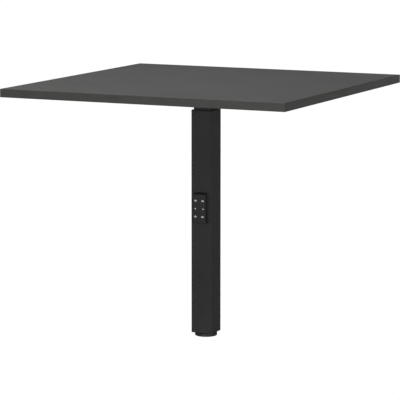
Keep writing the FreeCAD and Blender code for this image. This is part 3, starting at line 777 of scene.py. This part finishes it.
# Motor socket: a moulded plastic inlet for the motor's lead, behind the neck under the top. Two
# small cross-slot screws hold its ears, and four tinned brass pins stand in its mouth.
brass_dark = (0.58, 0.43, 0.19, 1.0)
brass_pale = (0.78, 0.62, 0.33, 1.0)
brass_smooth = 0.22
brass_rough = 0.38
tarnish_size = 0.002
tarnish_depth = 0.000012
ear_screw_radius = 0.0015
ear_screw_pitch = 0.0009
ear_screw_reach = 0.017
ear_head_radius = 0.00275
ear_head_height = 0.0016
ear_crown = 0.001705
cross_width = 0.0007
cross_length = 0.0031
cross_depth = 0.0009


def cross_reach(width, length):
    """Ring of a cross recess."""
    quarter = math.radians(90)
    def reach(angle):
        from_arm = abs((angle + quarter / 2) % quarter - quarter / 2)
        side = width / 2 / max(math.sin(from_arm), least_slope)
        return min(length / 2 / math.cos(from_arm), side)
    return reach


brass = bare_metal("tinned_brass")
tarnish = grain(brass, tarnish_size, detail=3.0)
feed(brass, "Base Color", shades(brass, tarnish, brass_dark, brass_pale))
roughen(brass, tarnish, brass_smooth, brass_rough)
relief(brass, tarnish, tarnish_depth)
dress("motor_socket", plastic)
dress("socket_pins", brass)
ears_low, ears_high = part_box("socket_screws")
ears_seat = ears_high.y - ear_head_height
ears_middle = (ears_low.z + ears_high.z) / 2
ears_rings = machine_shank(ear_screw_radius, ear_screw_pitch, ears_seat - ears_low.y)
ears_rings += round_head(ear_head_radius, ear_head_height, ear_crown)
ears_rings += recess_rings(ear_head_height, cross_depth, cross_reach(cross_width, cross_length))
ears_seats = []
for across in (-ear_screw_reach, ear_screw_reach):
    ears_seats.append((Vector((across, ears_seat, ears_middle)), Vector((0, 1, 0))))
ears_skin = set_in(turned_skin(ears_rings, fine_points), ears_seats)
new_piece(
    "socket_cross_slot_screws", ears_skin, zinc, "lift_column", "socket_screws"
)


# Head of the column: a square steel flange welded round the top of the inner tube and coated with
# it, bolted up to the mounting plate by four countersunk zinc-plated screws.
head_seam_leg = 0.0040
head_seam_step = 0.00045
neck_corner_radius = 0.0020
head_screw_radius = 0.0030
head_screw_pitch = 0.0010
head_screw_head_radius = 0.0055
head_screw_head_height = 0.0030
head_hexagon = 0.0040
head_socket_depth = 0.0021


def round_corner_path(half_width, corner, step):
    """Points as (place, way out, distance) round a square tube with rounded corners."""
    path = []
    distance = 0.0
    straight = half_width - corner
    side_steps = round(2 * straight / step)
    corner_steps = round(math.pi / 2 * corner / step)
    for side in range(4):
        out_angle = side * math.pi / 2
        out = Vector((math.cos(out_angle), math.sin(out_angle), 0.0))
        ahead = Vector((-out.y, out.x, 0.0))
        for index in range(side_steps):
            along = -straight + 2 * straight * index / side_steps
            path.append((out * half_width + ahead * along, out, distance))
            distance += 2 * straight / side_steps
        middle = out * straight + ahead * straight
        for index in range(corner_steps):
            angle = out_angle + math.pi / 2 * index / corner_steps
            way = Vector((math.cos(angle), math.sin(angle), 0.0))
            path.append((middle + way * corner, way, distance))
            distance += math.pi / 2 * corner / corner_steps
    return path


dress("head_flange", coat)
weld_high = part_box("head_weld")[1]
neck_half_width = weld_high.x - head_seam_leg
head_stations = []
for point, out, distance in round_corner_path(neck_half_width, neck_corner_radius, head_seam_step):
    root = Vector((point.x, point.y, weld_high.z))
    head_stations.append((root, out, Vector((0, 0, -1)), rippled(head_seam_leg, distance)))
new_piece(
    "head_seam", seam_skin(head_stations, True), coat, "lift_column", "head_weld"
)
bolts_low, bolts_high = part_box("head_screws")
bolt_rings = countersunk(
    head_screw_radius,
    head_screw_pitch,
    head_screw_head_radius,
    head_screw_head_height,
    bolts_high.z - bolts_low.z,
)
bolt_rings += recess_rings(0.0, head_socket_depth, hexagon_reach(head_hexagon))
bolt_seats = square_seats(bolts_high.x - head_screw_head_radius, bolts_high.z, Vector((0, 0, 1)))
bolt_skin = set_in(turned_skin(bolt_rings, fastener_points), bolt_seats)
new_piece("head_countersunk_screws", bolt_skin, zinc, "lift_column", "head_screws")


# Mounting plate and wood screws: a steel plate with two folded sides, coated black, that spreads
# the load under the board. Eight zinc-plated cross-slot wood screws go up into the chipboard.
wood_screw_radius = 0.0025
wood_screw_core = 0.0016
wood_screw_pitch = 0.0024
wood_screw_reach = 0.130
wood_point_length = 0.0030
wood_point_radius = 0.000192
wood_neck_length = 0.0010
wood_head_radius = 0.00475
wood_head_height = 0.0032
wood_crown = 0.002625
wood_cross_width = 0.0008
wood_cross_length = 0.0050
wood_cross_depth = 0.0018


def wood_shank(length):
    """Rings of a wood screw from its point up to the plane under its head."""
    rings = [(-length, round_reach(wood_point_radius))]
    start = wood_point_length - length
    depth = wood_screw_radius - wood_screw_core
    rings += thread_rings(wood_screw_radius, depth, wood_screw_pitch, start, -wood_neck_length)
    return rings


dress("mounting_plate", coat)
wood_low, wood_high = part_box("mounting_plate_screws")
wood_seat = wood_low.z + wood_head_height
wood_rings = wood_shank(wood_high.z - wood_seat)
wood_rings += round_head(wood_head_radius, wood_head_height, wood_crown)
wood_rings += recess_rings(
    wood_head_height, wood_cross_depth, cross_reach(wood_cross_width, wood_cross_length)
)
wood_seats = []
for across in (-wood_screw_reach, 0.0, wood_screw_reach):
    for deep in (-wood_screw_reach, 0.0, wood_screw_reach):
        if across or deep:
            wood_seats.append((Vector((across, deep, wood_seat)), Vector((0, 0, -1))))
wood_skin = set_in(turned_skin(wood_rings, fine_points), wood_seats)
new_piece(
    "board_wood_screws", wood_skin, zinc, "lift_column", "mounting_plate_screws"
)


# Tabletop board: chipboard with an anthracite melamine face on both sides, pressed with a fine
# pearl grain. It lies on the mounting plate and is held from below by the wood screws.
melamine_dark = (0.070, 0.070, 0.0690, 1.0)
melamine_pale = (0.088, 0.088, 0.0868, 1.0)
melamine_gloss = 0.15
melamine_smooth = 0.44
melamine_rough = 0.60
pearl_size = 0.0011
pearl_depth = 0.00003
fleck_size = 0.0045
press_cloud_size = 0.14
press_cloud_share = 0.35

melamine = new_finish("anthracite_melamine", 0.0, melamine_gloss)
pearl = grain(melamine, pearl_size, detail=1.5)
fleck = grain(melamine, fleck_size, detail=3.0)
press_cloud = grain(melamine, press_cloud_size)
mottle_sources = {0: press_cloud_share, 2: fleck, 3: press_cloud}
mottle = add_node(melamine, "ShaderNodeMix", mottle_sources).outputs[0]
feed(melamine, "Base Color", shades(melamine, mottle, melamine_dark, melamine_pale))
roughen(melamine, pearl, melamine_smooth, melamine_rough)
relief(melamine, pearl, pearl_depth)
dress("tabletop_board", melamine)


# Edge bands: four strips of 2 mm extruded plastic of the board's decor, glued to its sides and rounded
# over at the edges, their colour set darker than the board's as painted shade for the upright sides.
# The front and back bands run the full width over the side bands' ends.
# The band colour is darker than the board's melamine: painted shade for the upright edges, not a
# different decor.
band_painted_shade_dark = (0.0414, 0.0413, 0.0390, 1.0)
band_painted_shade_pale = (0.0483, 0.0481, 0.0456, 1.0)
band_gloss = 0.18
band_smooth = 0.36
band_rough = 0.50
band_line_size = 0.0011
band_line_stretch = (80.0, 80.0, 1.0)
band_line_depth = 0.000012
band_cloud_size = 0.05
band_cloud_stretch = (1.0, 1.0, 0.5)

band = new_finish("anthracite_edge_band_painted_shade", 0.0, band_gloss)
extruded_lines = grain(band, band_line_size, band_line_stretch)
band_cloud = grain(band, band_cloud_size, band_cloud_stretch, detail=3.0)
feed(band, "Base Color", shades(band, band_cloud, band_painted_shade_dark, band_painted_shade_pale))
roughen(band, extruded_lines, band_smooth, band_rough)
relief(band, extruded_lines, band_line_depth)
for side in ("front", "back", "left", "right"):
    dress("edge_band_" + side, band)


# Floor: a plain white studio floor of lit acrylic, so it shows no shade. Only the camera sees it,
# and the table is lit by the lamps and the room alone. It lies just below the levelling foot's
# longest reach, so that a foot screwed out stays in view.
floor_height = -0.0125
floor_half_width = 400.0
floor_glow = 1.02
black = (0.0, 0.0, 0.0, 1.0)
white = (1.0, 1.0, 1.0, 1.0)

floor_finish = new_finish("lit_white_floor", 0.0, 0.0)
floor_shader = floor_finish.node_tree.nodes["Principled BSDF"]
floor_shader.inputs["Base Color"].default_value = black
floor_shader.inputs["Emission Color"].default_value = white
floor_shader.inputs["Emission Strength"].default_value = floor_glow
floor_mesh = bpy.data.meshes.new("studio_floor")
floor_corners = [
    (-floor_half_width, -floor_half_width, floor_height),
    (floor_half_width, -floor_half_width, floor_height),
    (floor_half_width, floor_half_width, floor_height),
    (-floor_half_width, floor_half_width, floor_height),
]
floor_mesh.from_pydata(floor_corners, [], [(0, 1, 2, 3)])
floor_mesh.materials.append(floor_finish)
floor = bpy.data.objects.new("studio_floor", floor_mesh)
bpy.context.scene.collection.objects.link(floor)
floor.visible_diffuse = False
floor.visible_glossy = False
floor.visible_transmission = False
floor.visible_shadow = False


# Light: a white room, brightest at eye level on the near side, one soft lamp high on the near left
# for the top, and two low ones, in front and behind, for the column. The camera sees the room as
# white.
room_shades = ((0.30, 0.35), (0.43, 1.56), (0.55, 1.56), (0.62, 0.30), (0.70, 0.22), (0.90, 0.62))
room_bright_way = (0.58, -0.815, 0.0)
room_far_share = 0.15
top_lamp_place = Vector((-0.58, -0.78, 3.1))
top_lamp_target = Vector((0.0, 0.0, 0.55))
top_lamp_width = 1.4
top_lamp_power = 72.0
front_lamp_place = Vector((0.33, -1.77, 0.16))
front_lamp_target = Vector((0.0, 0.0, 0.10))
front_lamp_width = 0.5
front_lamp_height = 0.3
front_lamp_power = 9.2
back_lamp_place = Vector((-1.0, 3.7, 0.45))
back_lamp_target = Vector((0.0, 0.0, 0.32))
back_lamp_width = 2.4
back_lamp_height = 0.5
back_lamp_power = 62.0

room = bpy.data.worlds.new("studio_room")
room.use_nodes = True
room_way = add_node(room, "ShaderNodeTexCoord", {}).outputs["Generated"]
room_height = add_node(room, "ShaderNodeSeparateXYZ", {"Vector": room_way}).outputs["Z"]
room_shade = add_node(room, "ShaderNodeValToRGB", {"Fac": level(room, room_height, -1.0, 1.0)})
room_steps = room_shade.color_ramp.elements
while len(room_steps) < len(room_shades):
    room_steps.new(1.0)
for step, (position, brightness) in zip(room_steps, room_shades):
    step.position = position
    step.color = (brightness, brightness, brightness, 1.0)
room_side = add_node(room, "ShaderNodeVectorMath", {0: room_way, 1: room_bright_way})
room_side.operation = "DOT_PRODUCT"
room_strength = level(room, room_side.outputs["Value"], -1.0, 1.0, room_far_share, 1.0)
room_light = room.node_tree.nodes["Background"]
room.node_tree.links.new(room_shade.outputs["Color"], room_light.inputs["Color"])
room.node_tree.links.new(room_strength, room_light.inputs["Strength"])
room_white = add_node(room, "ShaderNodeBackground", {"Color": white, "Strength": 1.0})
room_seen = {
    0: add_node(room, "ShaderNodeLightPath", {}).outputs["Is Camera Ray"],
    1: room_light.outputs["Background"],
    2: room_white.outputs["Background"],
}
room_mix = add_node(room, "ShaderNodeMixShader", room_seen)
room_end = room.node_tree.nodes["World Output"]
room.node_tree.links.new(room_mix.outputs["Shader"], room_end.inputs["Surface"])
bpy.context.scene.world = room


def hang_lamp(name, place, target, width, height, power):
    """Soft rectangular lamp that shines at the target and stays out of the picture."""
    light = bpy.data.lights.new(name, "AREA")
    light.shape = "RECTANGLE"
    light.size = width
    light.size_y = height
    light.energy = power
    lamp = bpy.data.objects.new(name, light)
    lamp.location = place
    lamp.rotation_euler = (target - place).to_track_quat("-Z", "Y").to_euler()
    lamp.visible_camera = False
    bpy.context.scene.collection.objects.link(lamp)


hang_lamp(
    "top_lamp", top_lamp_place, top_lamp_target, top_lamp_width, top_lamp_width, top_lamp_power
)
hang_lamp(
    "front_lamp",
    front_lamp_place,
    front_lamp_target,
    front_lamp_width,
    front_lamp_height,
    front_lamp_power,
)
hang_lamp(
    "back_lamp", back_lamp_place, back_lamp_target, back_lamp_width, back_lamp_height, back_lamp_power
)


# Camera: a long lens a little above the top, to the right of the front, as in the photograph. It
# is tilted down and has no shift.
camera_place = (2.57984, -5.48778, 1.29125)
camera_tilt = math.radians(90.0 - 8.6506)
camera_turn = math.radians(25.3328)
camera_lens = 205.945
camera_sensor = 36.0
camera_near = 0.1
camera_far = 2000.0

camera_body = bpy.data.cameras.new("photo_camera")
camera_body.sensor_width = camera_sensor
camera_body.lens = camera_lens
camera_body.clip_start = camera_near
camera_body.clip_end = camera_far
camera = bpy.data.objects.new("photo_camera", camera_body)
camera.location = camera_place
camera.rotation_euler = (camera_tilt, 0.0, camera_turn)
bpy.context.scene.collection.objects.link(camera)
bpy.context.scene.camera = camera
bpy.context.scene.view_settings.view_transform = "Standard"
